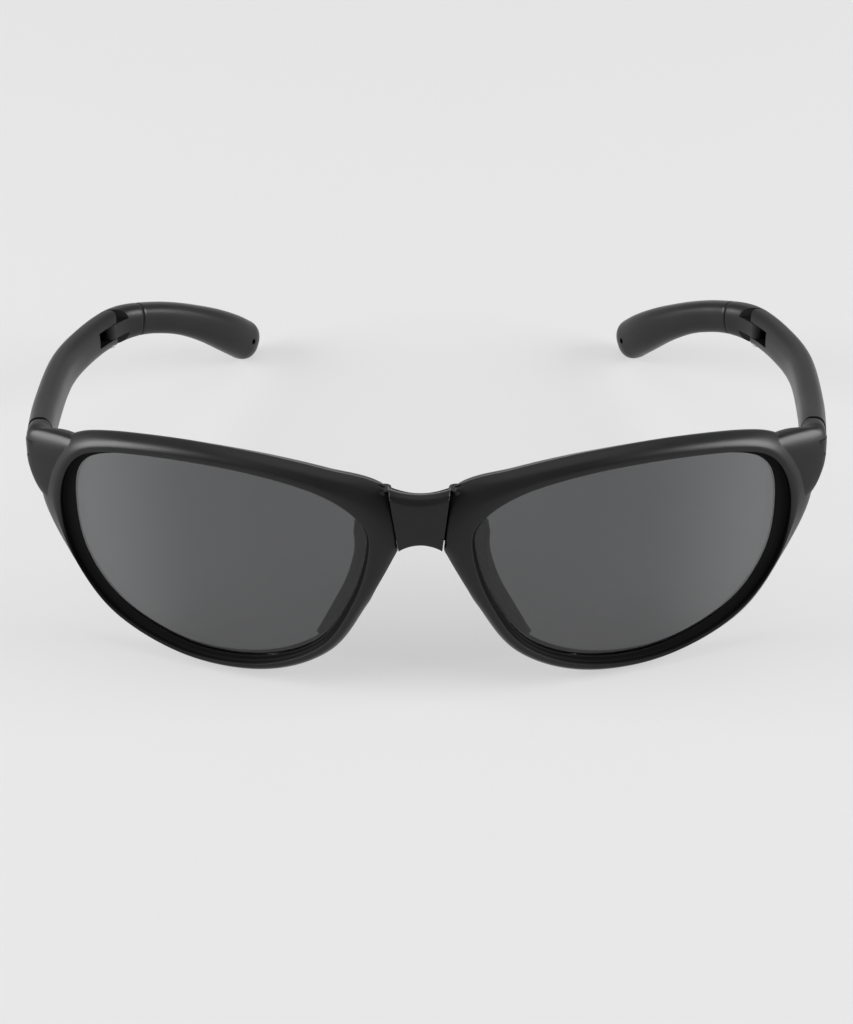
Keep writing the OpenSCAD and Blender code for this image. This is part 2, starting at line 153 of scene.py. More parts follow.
@dataclass(frozen=True)
class FrontSizes:
    """The wrapped front: a sphere of radius wrap, leaning by lean degrees."""

    wrap: float = 125.0
    lean: float = 4.0
    lens_x: float = 38.3
    lens_w: float = 56.4
    lens_h: float = 39.9
    lens_t: float = 1.8
    recess: float = 1.9
    groove: float = 0.8
    gap: float = 0.05
    rim_top: float = 3.6
    rim_bottom: float = 3.4
    rim_nose: float = 3.2
    rim_side: float = 7.6
    rim_shoulder: float = 8.4
    rim_t: float = 5.8
    rim_side_t: float = 4.4

    def marks(self) -> Array:
        """Lens corners as shares of the half width and height, and the rim's width outside each."""
        return np.array([
            [1.0, 0.28, self.rim_side], [0.945, 0.70, self.rim_side - 2.6],
            [0.715, 0.905, self.rim_top], [0.24, 0.985, self.rim_top],
            [-0.26, 0.96, self.rim_top + 0.2], [-0.70, 0.82, self.rim_top + 1.3],
            [-0.968, 0.56, self.rim_shoulder], [-0.993, 0.25, self.rim_shoulder - 3],
            [-0.882, -0.24, self.rim_nose + 0.2], [-0.655, -0.75, self.rim_nose],
            [-0.26, -1.02, self.rim_bottom], [0.24, -1.03, self.rim_bottom],
            [0.69, -0.73, self.rim_bottom + 0.9], [0.935, -0.25, self.rim_side - 3.1]])

    def lip(self, u: Array) -> Array:
        """Lens outline: x, z and the rim's width, at places u on the ring of corners."""
        x, z, width = round_ring(self.marks(), u).T
        return np.column_stack([self.lens_x + x * self.lens_w / 2, z * self.lens_h / 2, width])

    def outward(self, u: Array) -> Array:
        """Normal of the lens outline, from a short step either way."""
        n = len(self.marks())
        d = unit((self.lip(u + n + STEP) - self.lip(u + n - STEP))[:, :2])
        return np.column_stack([d[:, 1], -d[:, 0]])

    def depth(self, x: Array, z: Array, behind: Array) -> Array:
        """y of the sphere that lies the given distance behind the wrapped front."""
        return self.wrap - np.sqrt((self.wrap - behind) ** 2 - x**2 - z**2)

    def thickness(self, x: Array) -> Array:
        """Rim thickness, thinning in a straight line from beside the nose to the temple."""
        share = np.clip((x - 22) / (self.lens_x - 2), 0, 1)
        return self.rim_t + (self.rim_side_t - self.rim_t) * share


@dataclass(frozen=True)
class BridgeSizes:
    """The bridge piece between the rims, and its two slanted hinges."""

    top_half: float = 5.8
    bottom_half: float = 4.1
    top_z: float = 18.8
    bottom_z: float = 6.2
    dip: float = 1.1
    arch: float = 1.3
    seam: float = 0.3
    knuckle_r: float = 1.7
    pin_out: float = 1.3
    pin_r: float = 0.7
    knuckle_h: float = 4.4

    @property
    def slant(self) -> float:
        """Lean of a seam outwards from the vertical, in degrees."""
        across, up = self.top_half - self.bottom_half, self.top_z - self.bottom_z
        return math.degrees(math.atan2(across, up))

    @property
    def barrel_half(self) -> float:
        """Half the length of the rim's hinge barrel."""
        return (self.top_z - self.bottom_z) / 2 - 1.0

    def pin_frame(self, front: FrontSizes) -> Array:
        """Frame on the right hinge pin at the bridge's middle height, in the leaned front."""
        x = (self.top_half + self.bottom_half) / 2 + self.pin_out
        return (turn("x", front.lean)
                @ shift(x, front.rim_t - self.knuckle_r, (self.top_z + self.bottom_z) / 2)
                @ turn("y", self.slant))


@dataclass(frozen=True)
class TempleSizes:
    """A temple: its hinge, its path, its fold and its tip."""

    hinge_x: float = 74.0
    hinge_y: float = 28.257
    hinge_z: float = 15.8
    thick: float = 5.2
    high: float = 8.6
    fold_t: float = 4.8
    fold_h: float = 7.8
    neck_h: float = 6.7
    tip_t: float = 6.6
    tip_h: float = 8.8
    fold: float = 64.0
    rear_fold: float = 134.0
    pin_r: float = 0.8
    fold_pin_r: float = 0.6
    fold_in: float = 1.7
    slot: float = 6.2
    slot_wall: float = 0.75
    knuckle: float = 3.0
    fold_knuckle: float = 3.1
    side_gap: float = 0.15
    move_gap: float = 0.25
    head_r: float = 1.35
    head_h: float = 0.8
    cord_r: float = 0.6
    fold_u: float = 4.75
    seam_u: float = 5.85
    last_u: float = 9.6
    square: float = 2.7
    end_square: float = 2.4

    def marks(self) -> Array:
        """Path of the middle behind the hinge: inwards, back and up."""
        return np.array([
            [0.3, -8, -0.2], [0, 0, 0], [-1, 14.7, 0.4], [-0.7, 33.3, 1.4], [2.3, 46.1, 2.1],
            [6.7, 56.3, 2.4], [11.9, 62.4, 1.8], [18, 69.1, -0.7], [23.8, 75.7, -4.7],
            [28.4, 81.6, -9.1], [31.9, 87.4, -13.6], [35, 93, -17.8]], float)

    def middle(self, u: Array) -> Array:
        """Points of the middle line on the right side."""
        m = along_path(self.marks(), u)
        return np.array([self.hinge_x, self.hinge_y, self.hinge_z]) + m * np.array([-1, 1, 1])

    def heading(self, u: Array) -> Array:
        """Direction of the middle line, from a short step either way."""
        return unit(self.middle(u + STEP) - self.middle(u - STEP))

    def thickness(self, u: Array) -> Array:
        """Thickness across the path."""
        return (self.thick + (self.fold_t - self.thick) * ease((u - 1) / 3)
                + (self.tip_t - self.fold_t) * ease((u - self.seam_u) / 3))

    def height(self, u: Array) -> Array:
        """Height across the path."""
        return (self.high + (self.fold_h - self.high) * ease((u - 1) / 3)
                + (self.neck_h - self.fold_h) * ease((u - self.fold_u) / 1.6)
                + (self.tip_h - self.neck_h) * ease((u - self.seam_u - 1) / 2.4))

    def squareness(self, u: Array) -> Array:
        """How boxy the section is; 2 is an ellipse."""
        return self.square - 0.3 * ease((u - 7) / 2)

    def swing_edge(self, reach: float) -> float:
        """How far back the swung temple's side is beside the hinge, at its reach from the pin."""
        fold = math.radians(self.fold)
        far = (WIDE - reach * math.cos(fold)) / math.sin(fold)
        return -reach * math.sin(fold) + far * math.cos(fold)

    def hinge_frame(self) -> Array:
        """Frame on the right temple hinge pin."""
        return shift(self.hinge_x, self.hinge_y, self.hinge_z)

    def fold_frame(self) -> Array:
        """Frame on the right fold pin, with the temple running along +Y."""
        u = np.array([self.fold_u])
        way, at = self.heading(u)[0], self.middle(u)[0]
        angle = math.degrees(math.atan2(-way[0], way[1]))
        m = turn("z", angle)
        off = self.fold_t / 2 - self.fold_in
        return shift(*(at - off * m[:3, 0])) @ m


@dataclass(frozen=True)
class Stance:
    """How the wearer's frame stands on the floor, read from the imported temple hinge."""

    matrix: Array

    @classmethod
    def from_frame(cls, joints: Sequence[dict], temple: TempleSizes) -> "Stance":
        """Works out the tilt from the hinge's axis and the place from its position.

        Args:
            joints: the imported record's joints.
            temple: the temple's sizes, which hold the hinge's place in the wearer's frame.

        Returns:
            The stance, as a matrix from the wearer's frame to the floor's, in millimetres.
        """
        joint = next(j for j in joints if j["name"] == "temple_hinge_right")
        axis = joint["axis"]
        tilt = turn("x", -math.degrees(math.atan2(axis[1], axis[2])))
        local = np.array([[temple.hinge_x, temple.hinge_y, temple.hinge_z]])
        place = np.array(joint["pos_m"]) / MM - moved(local, tilt)[0]
        return cls(shift(*place) @ tilt)

    def world(self, points: Array) -> Array:
        """Points of the wearer's frame in metres on the floor."""
        return moved(points, self.matrix) * MM

    def settle(self, piece: Object) -> None:
        """Sets a piece that was made in the wearer's frame down on the floor, in metres."""
        piece.data.transform(Matrix((np.diag([MM, MM, MM, 1.0]) @ self.matrix).tolist()))


# Meshes


def new_object(name: str, data: ID) -> Object:
    """An object of the data, linked to the scene."""
    made = bpy.data.objects.new(name, data)
    bpy.context.scene.collection.objects.link(made)
    return made


def quad_faces(rows: int, columns: int, ring: bool) -> Array:
    """Faces between neighbouring closed rows of a grid, of which a ring's last meets its first."""
    i = np.arange(rows if ring else rows - 1)[:, None]
    j = np.arange(columns)[None, :]
    k, l = (i + 1) % rows, (j + 1) % columns
    corners = (i * columns + j, i * columns + l, k * columns + l, k * columns + j)
    return np.stack(corners, -1).reshape(-1, 4)


def make_piece(name: str, points: Array, quads: Array,
               fans: Optional[Array] = None) -> Object:
    """Makes an object whose faces point outwards.

    The volume is the sum over all faces of the corner products; where it is negative, the
    faces are turned round.

    Args:
        name: the object's name.
        points: vertices in metres.
        quads: four-cornered faces.
        fans: three-cornered faces, for the poles.

    Returns:
        The new object, linked to the scene.
    """
    fans = np.zeros((0, 3), int) if fans is None else fans
    tri = np.concatenate([quads[:, [0, 1, 2]], quads[:, [0, 2, 3]], fans])
    a, b, c = points[tri[:, 0]], points[tri[:, 1]], points[tri[:, 2]]
    if np.einsum("ij,ij->i", a, np.cross(b, c)).sum() < 0:
        quads, fans = quads[:, ::-1], fans[:, ::-1]
    mesh = bpy.data.meshes.new(name)
    mesh.vertices.add(len(points))
    mesh.vertices.foreach_set("co", points.astype(np.float32).ravel())
    sizes = np.concatenate([np.full(len(quads), 4), np.full(len(fans), 3)])
    starts = np.concatenate([[0], np.cumsum(sizes)[:-1]])
    mesh.loops.add(int(sizes.sum()))
    corners = np.concatenate([quads.ravel(), fans.ravel()])
    mesh.loops.foreach_set("vertex_index", corners.astype(np.int32))
    mesh.polygons.add(len(sizes))
    mesh.polygons.foreach_set("loop_start", starts.astype(np.int32))
    mesh.update(calc_edges=True)
    mesh.validate()
    return new_object(name, mesh)


def loft(name: str, rows: Array, ring: bool = False) -> Object:
    """Skin over closed rows, with each end closed by a fan about its middle.

    Args:
        name: the object's name.
        rows: (row, column, 3) points in the wearer's frame.
        ring: whether the last row joins the first, with no ends.

    Returns:
        The new object.
    """
    n, m = rows.shape[:2]
    points = rows.reshape(-1, 3)
    fans = None
    if not ring:
        points = np.concatenate([points, rows[:1].mean(1), rows[-1:].mean(1)])
        j = np.arange(m)
        k = (j + 1) % m
        low = np.column_stack([k, j, np.full(m, n * m)])
        high = np.column_stack([(n - 1) * m + j, (n - 1) * m + k, np.full(m, n * m + 1)])
        fans = np.concatenate([low, high])
    return make_piece(name, points, quad_faces(n, m, ring), fans)


@dataclass(frozen=True)
class Block:
    """Straight block over a closed plan, between two heights."""

    plan: Array
    low: float
    high: float

    def build(self) -> Object:
        """Makes the block: the plan at both heights, joined by upright faces."""
        n = len(self.plan)
        ends = (self.low, self.high)
        points = np.concatenate([np.column_stack([self.plan, np.full(n, z)]) for z in ends])
        x, y = self.plan.T
        turns_left = x @ np.roll(y, -1) - np.roll(x, -1) @ y > 0
        j = np.arange(n) if turns_left else np.arange(n)[::-1]
        k = np.roll(j, -1)
        faces = np.column_stack([j, k, k + n, j + n]).tolist()
        faces += [j[::-1].tolist(), (j + n).tolist()]
        mesh = bpy.data.meshes.new("block")
        mesh.from_pydata(points.tolist(), [], faces)
        mesh.update()
        return new_object("block", mesh)


def layers(plan: Array, inner: float, outer: float) -> list[Block]:
    """Two blocks over one plan, as far above the middle as below it."""
    return [Block(plan, inner, outer), Block(plan, -outer, -inner)]


def arc(radius: float, start: float, stop: float, count: int = 24) -> Array:
    """Points on a circle about the origin, from one angle to another in degrees."""
    a = np.radians(np.linspace(start, stop, count))
    return radius * np.column_stack([np.cos(a), np.sin(a)])


def disc(radius: float, count: int = 64) -> Array:
    """Outline of a circle."""
    return arc(radius, 0, 360 - 360 / count, count)


def box(x0: float, y0: float, x1: float, y1: float) -> Array:
    """Outline of a rectangle."""
    return np.array([[x0, y0], [x1, y0], [x1, y1], [x0, y1]], float)


def bore(radius: float, low: float = -THROUGH, high: float = THROUGH) -> Block:
    """A round block about the origin."""
    return Block(disc(radius), low, high)


class Join(Enum):
    """A way to combine two solids."""

    ADD = "UNION"
    CUT = "DIFFERENCE"


def cut(*blocks: Block) -> tuple[Join, Sequence[Block]]:
    """A step that cuts blocks away."""
    return Join.CUT, blocks


def add(*blocks: Block) -> tuple[Join, Sequence[Block]]:
    """A step that adds blocks."""
    return Join.ADD, blocks


def combine(piece: Object, tool: Object, how: Join) -> None:
    """Adds a tool to a solid or cuts it away, and removes the tool."""
    step = piece.modifiers.new("step", "BOOLEAN")
    step.operation, step.solver, step.object = how.value, "EXACT", tool
    graph = bpy.context.evaluated_depsgraph_get()
    result = bpy.data.meshes.new_from_object(piece.evaluated_get(graph))
    old = piece.data
    piece.modifiers.clear()
    piece.data = result
    bpy.data.meshes.remove(old)
    blank = tool.data
    bpy.data.objects.remove(tool)
    bpy.data.meshes.remove(blank)


def carve(piece: Object, place: Array, *steps: tuple[Join, Sequence[Block]]) -> None:
    """Cuts and adds straight blocks, in order, in the frame of a matrix."""
    there = Matrix(place.tolist())
    piece.data.transform(there.inverted())
    for how, blocks in steps:
        for block in blocks:
            combine(piece, block.build(), how)
    piece.data.transform(there)


def smooth(piece: Object, crease: float = 32.0) -> None:
    """Shades smoothly, with a crease where faces meet at more than the given degrees."""
    piece.data.shade_smooth()
    piece.data.set_sharp_from_angle(angle=math.radians(crease))


def bar_rows(at: Array, way: Array, thick: Array, high: Array, square: Array,
             count: int) -> Array:
    """Rounded bar sections of count points, across a path's middle points and directions.

    Each section is a superellipse: across = t/2 sign(cos a) |cos a|^(2/q) and
    up = h/2 sign(sin a) |sin a|^(2/q), with q the squareness.
    """
    d = unit(way)
    side = unit(np.cross(d, [0.0, 0.0, 1.0]))
    up = np.cross(side, d)
    a = (np.arange(count) + 0.5) * 2 * math.pi / count
    e = (2 / square)[:, None]
    across = rounded(np.cos(a), e) * thick[:, None] / 2
    rise = rounded(np.sin(a), e) * high[:, None] / 2
    return at[:, None] + across[..., None] * side[:, None] + rise[..., None] * up[:, None]


# Finishes

Colour = tuple[float, float, float]


def wire(tree: NodeTree, node: Node, inputs: dict) -> Node:
    """Links sockets to a node's inputs by name or number, and sets plain values on them."""
    for key, value in inputs.items():
        if isinstance(value, NodeSocket):
            tree.links.new(value, node.inputs[key])
        else:
            node.inputs[key].default_value = value
    return node


def moulded_grain() -> NodeTree:
    """Group, made once: fine noise for the plastic's grain and broad noise for handling marks."""
    name = "moulded_grain"
    if name in bpy.data.node_groups:
        return bpy.data.node_groups[name]
    tree = bpy.data.node_groups.new(name, "ShaderNodeTree")
    for way, words in (("INPUT", ("Grain Scale", "Mark Scale")), ("OUTPUT", ("Height", "Marks"))):
        for word in words:
            tree.interface.new_socket(word, in_out=way, socket_type="NodeSocketFloat")
    given, out = tree.nodes.new("NodeGroupInput"), tree.nodes.new("NodeGroupOutput")
    place = tree.nodes.new("ShaderNodeTexCoord").outputs["Object"]
    for scale, result, noise in (("Grain Scale", "Height", {"Detail": 3.0, "Roughness": 0.65}),
                                 ("Mark Scale", "Marks", {"Detail": 4.0, "Distortion": 0.6})):
        node = tree.nodes.new("ShaderNodeTexNoise")
        wire(tree, node, {"Vector": place, "Scale": given.outputs[scale], **noise})
        wire(tree, out, {result: node.outputs["Fac"]})
    return tree


@dataclass
class Surface:
    """A new material with its Principled shader, and the grain's group to vary it.

    The scales are those of the fine grain and of the broad marks.
    """

    name: str
    grain: float = 5200.0
    marks: float = 90.0

    def __post_init__(self) -> None:
        """Makes the material and puts the group in it."""
        self.material = bpy.data.materials.new(self.name)
        self.material.use_nodes = True
        self.tree = self.material.node_tree
        self.shader = self.tree.nodes["Principled BSDF"]
        self.group = self.tree.nodes.new("ShaderNodeGroup")
        self.group.node_tree = moulded_grain()
        wire(self.tree, self.group, {"Grain Scale": self.grain, "Mark Scale": self.marks})

    def node(self, kind: str, inputs: dict) -> Node:
        """A new node with its inputs linked or set."""
        return wire(self.tree, self.tree.nodes.new(kind), inputs)

    def shade(self, inputs: dict) -> None:
        """Links or sets the shader's inputs."""
        wire(self.tree, self.shader, inputs)

    def maths(self, operation: str, a: object, b: object) -> NodeSocket:
        """A Math node on two sockets or numbers, and its result."""
        node = self.tree.nodes.new("ShaderNodeMath")
        node.operation = operation
        return wire(self.tree, node, {0: a, 1: b}).outputs[0]

    def tint(self, low: Colour, high: Colour, share: Optional[NodeSocket] = None) -> None:
        """Moves the base colour from low to high, by the marks where no other share is given."""
        mix = self.tree.nodes.new("ShaderNodeMix")
        mix.data_type = "RGBA"
        factor = self.group.outputs["Marks"] if share is None else share
        wire(self.tree, mix, {"A": (*low, 1), "B": (*high, 1), "Factor": factor})
        self.shade({"Base Color": mix.outputs["Result"]})

    def roughen(self, low: float, high: float) -> None:
        """Moves the roughness from low to high, by the marks."""
        spread = self.maths("MULTIPLY", self.group.outputs["Marks"], high - low)
        self.shade({"Roughness": self.maths("ADD", spread, low)})

    def emboss(self, strength: float, height: float) -> None:
        """Raises the grain as a bump, with its height in metres."""
        bump = self.node("ShaderNodeBump", {
            "Strength": strength, "Distance": height, "Height": self.group.outputs["Height"]})
        self.shade({"Normal": bump.outputs["Normal"]})


@dataclass(frozen=True)
class Plastic:
    """Soft satin plastic or rubber with a fine moulded grain."""

    name: str = "satin_black"
    colour: Colour = (0.006, 0.006, 0.0064)
    light: Colour = (0.009, 0.009, 0.0095)
    rough: tuple[float, float] = (0.30, 0.40)
    bump: float = 0.10
    bump_height: float = 0.00004
    grain: float = 5200.0
    specular: float = 0.30
    sheen: float = 0.0

    def material(self) -> Material:
        """Builds the material: marks tint the colour and the roughness, grain drives the bump."""
        surface = Surface(self.name, grain=self.grain)
        surface.tint(self.colour, self.light)
        surface.roughen(*self.rough)
        surface.emboss(self.bump, self.bump_height)
        surface.shade({"Specular IOR Level": self.specular, "Sheen Weight": self.sheen})
        return surface.material


@dataclass(frozen=True)
class SmokyLens:
    """Polished smoky lens, a shade clearer towards the temple.

    It clears between two distances from the middle of the object, in metres.
    """

    name: str = "smoky_lens"
    dark: Colour = (0.098, 0.100, 0.103)
    clear: Colour = (0.175, 0.177, 0.181)
    clears_from: float = 0.040
    clears_to: float = 0.068
    cloud: float = 0.12
    cloud_scale: float = 25.0
    haze: float = 0.02
    ior: float = 1.5

    def material(self) -> Material:
        """Builds the material: broad noise moves the tint a little, as dye is never dead even."""
        surface = Surface(self.name, marks=self.cloud_scale)
        surface.shade({"Transmission Weight": 1.0, "IOR": self.ior})
        place = surface.node("ShaderNodeTexCoord", {}).outputs["Object"]
        apart = surface.node("ShaderNodeSeparateXYZ", {0: place})
        outward = surface.node("ShaderNodeMapRange", {
            "Value": surface.maths("ABSOLUTE", apart.outputs["X"], 0.0),
            "From Min": self.clears_from, "From Max": self.clears_to})
        outward.interpolation_type = "SMOOTHSTEP"
        cloud = surface.maths("MULTIPLY", surface.group.outputs["Marks"], self.cloud)
        surface.tint(self.dark, self.clear, surface.maths("ADD", cloud, outward.outputs["Result"]))
        surface.roughen(0.0, self.haze)
        return surface.material


@dataclass(frozen=True)
class PinSteel:
    """Turned steel of the hinge pins."""

    name: str = "turned_steel"
    colour: Colour = (0.62, 0.62, 0.63)
    rough: tuple[float, float] = (0.22, 0.38)
    marks: float = 1500.0
    bump: float = 0.15
    bump_height: float = 0.00003

    def material(self) -> Material:
        """Builds the material: fine noise moves the roughness and raises the turning marks."""
        surface = Surface(self.name, marks=self.marks)
        surface.shade({"Metallic": 1.0, "Base Color": (*self.colour, 1)})
        surface.roughen(*self.rough)
        surface.emboss(self.bump, self.bump_height)
        return surface.material


@dataclass
class Finishes:
    """The finishes of the object, built once."""

    frame: Material = field(default_factory=lambda: Plastic().material())
    # Painted shade: the frame's finish made darker and duller, for the rim's inner bevel beside the
    # lens
    bevel: Material = field(default_factory=lambda: Plastic(
        name="bevel_black", colour=(0.002, 0.002, 0.002), light=(0.003, 0.003, 0.003),
        rough=(0.5, 0.6), specular=0.06).material())
    pad: Material = field(default_factory=lambda: Plastic(
        name="pad_rubber", colour=(0.012, 0.012, 0.013), light=(0.02, 0.02, 0.021),
        rough=(0.62, 0.75), bump=0.2, grain=3500.0, specular=0.35, sheen=0.12).material())
    lens: Material = field(default_factory=lambda: SmokyLens().material())
    steel: Material = field(default_factory=lambda: PinSteel().material())


@dataclass(frozen=True)
class Role:
    """What a finished piece is: the body it goes under and the imported node it stands in for."""

    body: str
    slot: str
    node: str


def hand_in(piece: Object, stance: Stance, material: Material, role: Role) -> None:
    """Sets a piece down, puts it under its body's empty and hides the imported node it stands for.

    It also gets the material, unless it already has two of its own.
    """
    stance.settle(piece)
    if len(piece.data.materials) < 2:
        piece.data.materials.clear()
        piece.data.materials.append(material)
    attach(piece, role.body)
    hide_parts(role.node)
    log.info("%s: %d faces on %s", piece.name, len(piece.data.polygons), role.body)


def hand_in_pair(piece: Object, stance: Stance, material: Material,
                 role: Role) -> None:
    """Does hand_in for a right-hand piece and its mirror image; role leaves the side out of its
    names.
    """
    twin = new_object(piece.name + "_left", piece.data.copy())
    piece.name += "_right"
    twin.data.transform(Matrix.Diagonal((-1, 1, 1, 1)))
    twin.data.flip_normals()
    for side, half in ((Side.RIGHT, piece), (Side.LEFT, twin)):
        own = Role(f"{role.body}_{side.word}", role.slot, f"{role.node}_{side.word}")
        hand_in(half, stance, material, own)


# Sub-assemblies


@dataclass
class Front:
    """The two rims, lenses, pads and the bridge.

    A rim has a number of stations between two corners of the lens, and fine points between two
    corners of its section. Bevels holds the width of its inner bevel at each lens corner; that
    bevel is coloured darker as painted shade.
    """

    stance: Stance
    finishes: Finishes
    sizes: FrontSizes = field(default_factory=FrontSizes)
    bridge: BridgeSizes = field(default_factory=BridgeSizes)
    temple: TempleSizes = field(default_factory=TempleSizes)
    stations: int = 20
    fine: int = 12
    arm_around: int = 72
    bevels: tuple[float, ...] = (
        3.0, 1.5, 0.5, 0.4, 0.4, 0.4, 0.4, 0.4, 0.5, 0.6, 0.9, 1.3, 2.1, 2.8)
    rounding: float = 0.13
    pad_t: float = 5.4
    pad_w: float = 4.6
    pad_square: float = 2.4
    dimples: int = 9
    dimple_depth: float = 0.4

    def lean(self) -> Array:
        """Matrix from the leaned front to the wearer's frame."""
        return turn("x", self.sizes.lean)

    def trim(self, points: Array, offset: float, keep: int) -> Array:
        """Presses what lies beyond a seam onto its plane, with a rounded edge.

        With s the distance from the plane, the new distance is half of s plus the root of
        s squared and four times the rounding squared.

        Args:
            points: points in the leaned front, on the right side.
            offset: the plane's distance outside the bridge's side.
            keep: +1 keeps the rim's side of the plane, -1 the bridge's.
        """
        a = math.radians(self.bridge.slant)
        normal = np.array([math.cos(a), 0.0, -math.sin(a)]) * keep
        base = np.array([self.bridge.bottom_half + offset, 0.0, self.bridge.bottom_z])
        s = (points - base) @ normal
        pressed = 0.5 * (s + np.sqrt(s**2 + 4 * self.rounding**2)) - self.rounding * 0.35
        return points + (pressed - s)[..., None] * normal

    def rim_rows(self) -> Array:
        """Sections of the right rim round its lens, in the leaned front.

        A section is a smooth curve through its corner points, given as distance outside the
        lens opening and depth behind the wrapped front, and then the straight-sided groove.
        """
        f = self.sizes
        corners = len(f.marks())
        u = corners - np.arange(corners * self.stations) / self.stations
        lip, out = f.lip(u), f.outward(u)
        w, d = lip[:, 2:3], f.thickness(lip[:, :1])
        b = round_ring(np.array(self.bevels)[:, None], u)
        table = np.stack([np.concatenate([out_by + 0 * w, deep + 0 * w], 1) for out_by, deep in (
            (0, 1.15 + 0.15 * b), (0.5 * b, 0.95 + 0.15 * b), (0.85 * b, 0.7 + 0.1 * b), (b, 0.42),
            (b + 0.4, 0.1), ((b + 0.4 + 0.72 * w) / 2, 0), (0.72 * w, 0.4), (0.9 * w, 1.2),
            (w, 2.1), (w - 0.35, 3.1), (w - 1, d - 0.8), (0.5 * w + 0.1, d - 0.1), (1.1, d),
            (0.5, d - 0.2), (0.3, d - 0.45))])
        place = 1 + np.arange((len(table) - 1) * self.fine + 1) / self.fine
        before, after = 2 * table[:1] - table[1:2], 2 * table[-1:] - table[-2:-1]
        curve = along_path(np.concatenate([before, table, after]), place)
        rear = f.recess + f.lens_t + f.gap
        front = f.recess - f.gap
        groove = np.array([[0.3, rear], [f.groove, rear], [f.groove, front], [0, front]])
        section = np.concatenate([curve, np.broadcast_to(groove[:, None], (4, len(u), 2))])
        x, z = (lip[:, k] + out[:, k] * section[..., 0] for k in (0, 1))
        return np.stack([x, f.depth(x, z, section[..., 1]), z], -1).swapaxes(0, 1)

    def lens_rows(self, grow: float, y: float) -> Array:
        """The lens outline, larger all round by grow, at one depth."""
        f = self.sizes
        u = np.arange(len(f.marks()) * 6) / 6
        edge = f.lip(u)[:, :2] + f.outward(u) * grow
        return np.column_stack([edge[:, 0], np.full(len(u), y), edge[:, 1]])

    def end_piece(self) -> Object:
        """The arm from the rim's upper corner to the temple hinge, with its rounded inner corner.

        Its upright sections all face back, so that none crosses another where the arm turns.
        Each mark holds x, y and z from the hinge, the height and the width. Where the rim's
        opening is, the arm is cut away: wider at the front, along the bevel.
        """
        t = self.temple
        marks = np.array([
            [-17, -12.4, 0.8, 5, 6.4], [-11.9, -9, 0.6, 7, 6.8], [-7.3, -5.7, -3.7, 16.4, 8.8],
            [-4.1, -3.2, -3.1, 15.2, 9.6], [-1.35, -1.65, -1.4, 11.2, 7.2],
            *([0, y, 0, t.high, t.thick] for y in (0, 2, 4))], float)
        u = np.concatenate([np.linspace(1, 5, 52), [5.5, 6.0]])
        place = along_path(marks, u)
        way = np.tile([0.0, 1.0, 0.0], (len(u), 1))
        square = np.full(len(u), t.square)
        rows = bar_rows(place[:, :3], way, place[:, 4], place[:, 3], square, self.arm_around)
        piece = loft("end_piece", moved(rows, t.hinge_frame()))
        round_part = arc(t.thick / 2 - 0.004, 180, 90)
        corner = np.concatenate([round_part, [[0.001, WIDE], [-WIDE, WIDE], [-WIDE, 0.001]]])
        carve(piece, t.hinge_frame(), cut(Block(corner, -THROUGH, THROUGH)))
        room = self.sizes.groove + 0.8
        outlines = ((3.2, -20.0), (3.2, 20.0), (0.0, 23.4), (0.0, 60.0))
        rows = np.stack([self.lens_rows(room + more, y) for more, y in outlines])
        combine(piece, loft("lens_room", moved(rows, self.lean())), Join.CUT)
        return piece

    def rim_shell(self) -> Object:
        """The ring round the right lens, pressed flat at the seam, with painted shade on its inner
        bevel.
        """
        rows = self.trim(self.rim_rows(), self.bridge.seam / 2, 1)
        rim = loft("rim_shell", moved(rows, self.lean()), ring=True)
        # The second material, on the inner bevel's faces, is painted shade: the frame's finish,
        # darker and duller
        for material in (self.finishes.frame, self.finishes.bevel):
            rim.data.materials.append(material)
        inner = np.arange(rows.shape[1]) < 3.5 * self.fine
        rim.data.polygons.foreach_set("material_index", np.tile(inner, len(rows)).astype(np.int32))
        return rim

    def cut_bridge_hinge(self, rim: Object) -> None:
        """Adds a rim's two knuckles, clears the bridge's between them and bores for the pin.

        Its lower edge beside the bridge is then cut straight.
        """
        b = self.bridge
        middle, barrel = b.knuckle_h / 2, b.barrel_half
        inside = b.seam / 2 - b.pin_out - 0.2
        carve(rim, b.pin_frame(self.sizes),
              cut(Block(box(-WIDE, 0.02, 0, WIDE), -30, 30)),
              add(*layers(disc(b.knuckle_r), middle - 0.3, barrel - 0.003)),
              cut(bore(b.knuckle_r + self.temple.move_gap, -middle, middle)),
              cut(*layers(box(-WIDE, -WIDE, inside, WIDE), barrel, THROUGH)),
              cut(bore(b.pin_r + FIXED_GAP)))
        x, z = b.bottom_half, b.bottom_z
        below = np.array([[0, z - 11.8], [x + 5.8, z - 11.8], [x + 4.4, z - 8.4],
                          [x - 1.6, z + 3.1], [0, z + 3.1]])
        carve(rim, self.lean() @ turn("x", 90), cut(Block(below, -40, 10)))

    def cut_temple_hinge(self, rim: Object) -> None:
        """Clears the temple's knuckle and its swing, and bores for the screw and its head."""
        t = self.temple
        r, half, reach = t.thick / 2, t.high / 2, t.thick / 2 + t.move_gap
        slot_half = t.knuckle / 2 + t.side_gap
        corners = [[WIDE, 0], [WIDE, WIDE], [-WIDE, WIDE], [-WIDE, t.swing_edge(reach)]]
        slot = np.concatenate([arc(reach, t.fold - 180, 0), corners])
        carve(rim, t.hinge_frame(),
              cut(Block(slot, -slot_half, slot_half)),
              cut(Block(box(-r - 14, -2.5, -r - 0.003, 20), -half - 1, THROUGH)),
              cut(bore(t.pin_r + FIXED_GAP, -THROUGH, half - 1.2)),
              cut(bore(t.head_r + FIXED_GAP, -THROUGH, -half + 0.3 + t.head_h)))

    def build_rims(self) -> None:
        """Builds the rims: the ring and its end piece, cut for both hinges."""
        rim = self.rim_shell()
        self.cut_bridge_hinge(rim)
        combine(rim, self.end_piece(), Join.ADD)
        self.cut_temple_hinge(rim)
        smooth(rim)
        hand_in_pair(rim, self.stance, self.finishes.frame, Role("front", "frame_plastic", "rim"))

